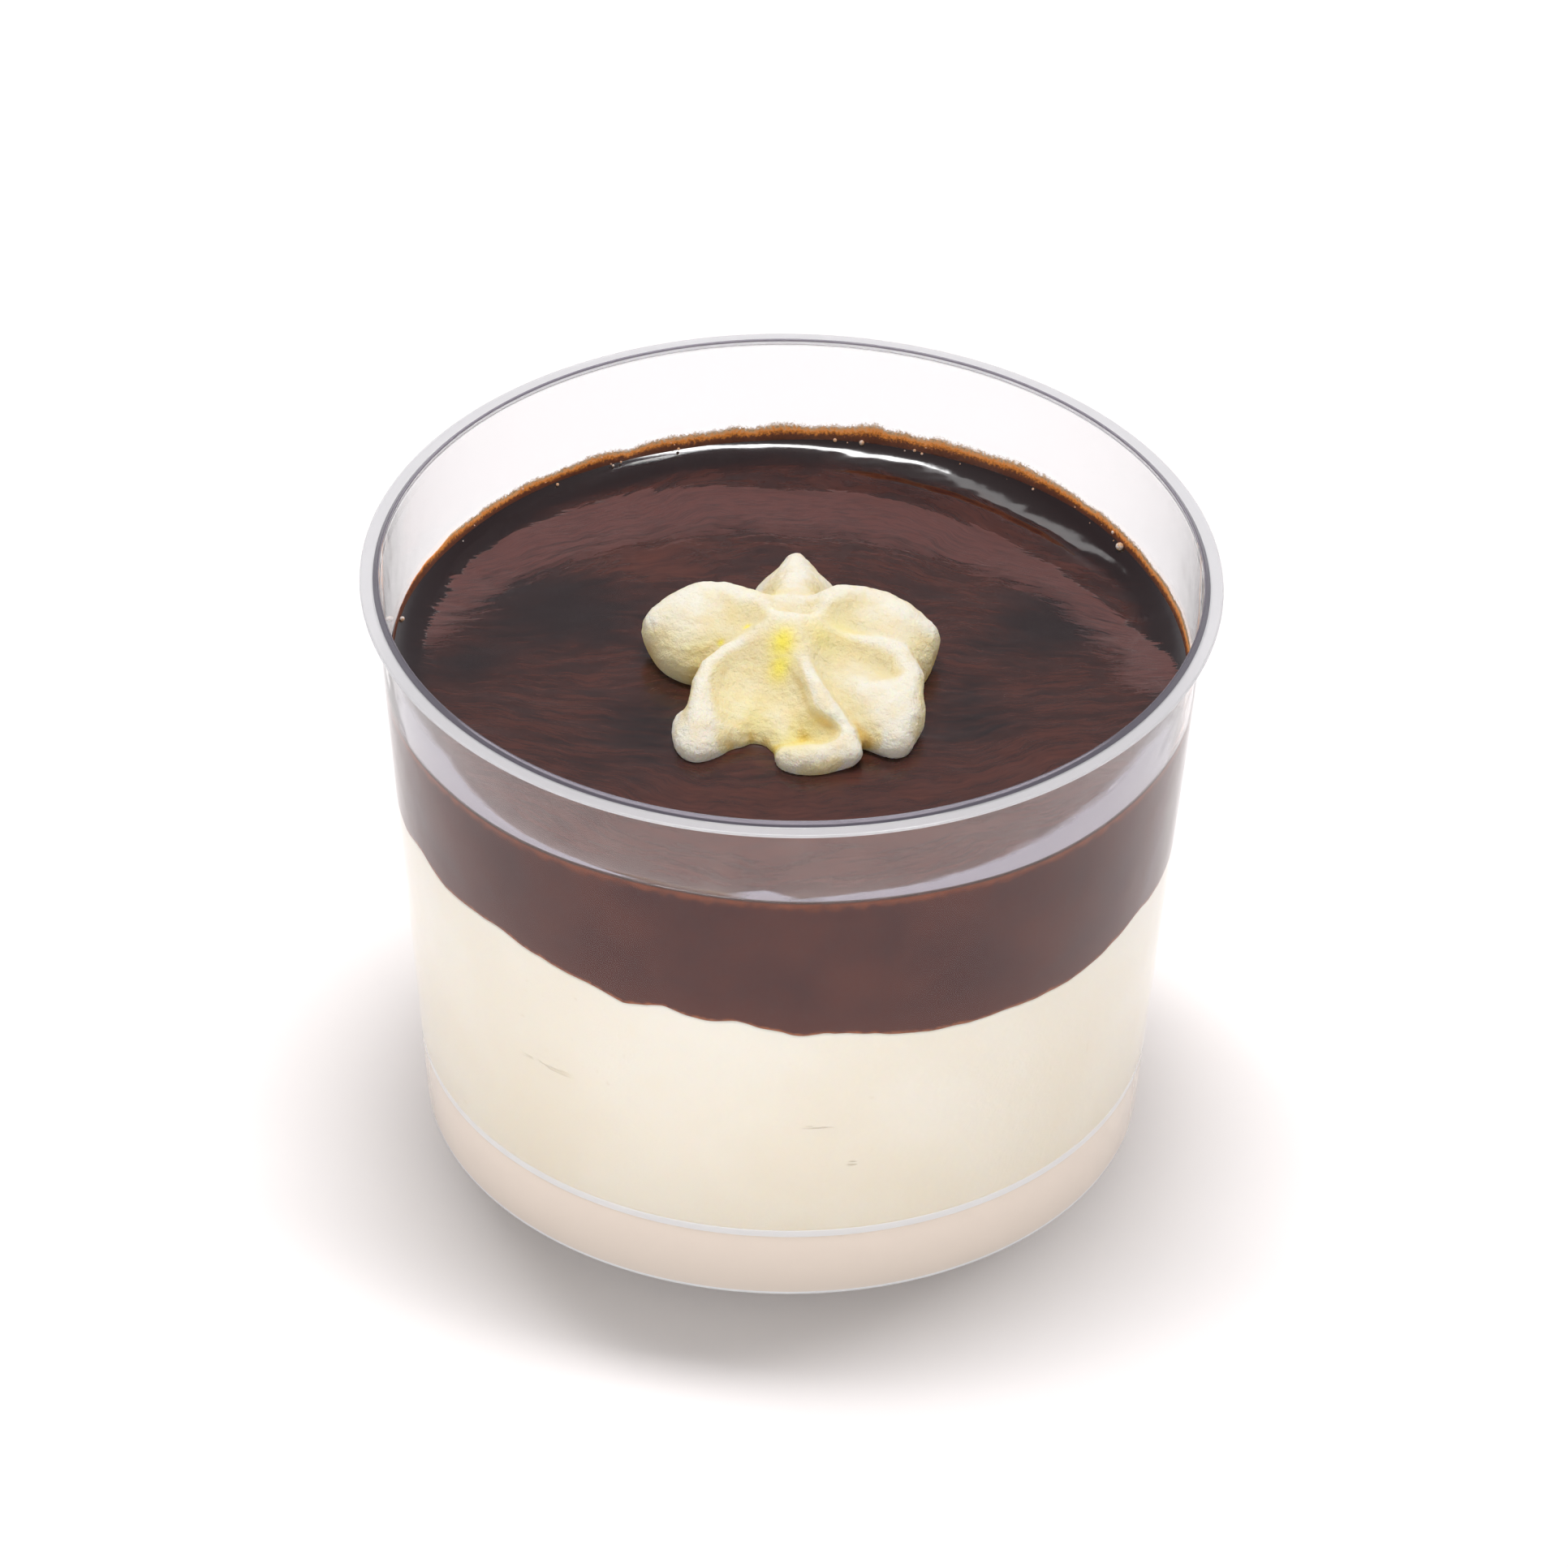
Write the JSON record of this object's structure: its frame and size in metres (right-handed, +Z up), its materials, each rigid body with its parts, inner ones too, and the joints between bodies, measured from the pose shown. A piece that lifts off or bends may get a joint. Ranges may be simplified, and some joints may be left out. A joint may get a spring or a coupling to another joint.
{
  "type": "profiterole cup",
  "caption": "Clear tapered dessert cup filled with vanilla cream and chocolate sauce, with a piped star of cream on top",
  "frame": {"origin": "centre of the cup's foot, on the surface that it stands on", "axes": "+Z up along the cup's axis, -Y towards the viewer of the picture, +X to the viewer's right"},
  "size_m": [0.0848, 0.0848, 0.0619],
  "materials": {
    "clear_plastic": "gloss",
    "vanilla_cream": "satin",
    "chocolate_sauce": "gloss",
    "whipped_cream": "satin"
  },
  "bodies": {
    "root": {"cup": "clear_plastic", "cream_layer": "vanilla_cream", "chocolate_layer": "chocolate_sauce", "cream_star": "whipped_cream"}
  },
  "joints": []
}
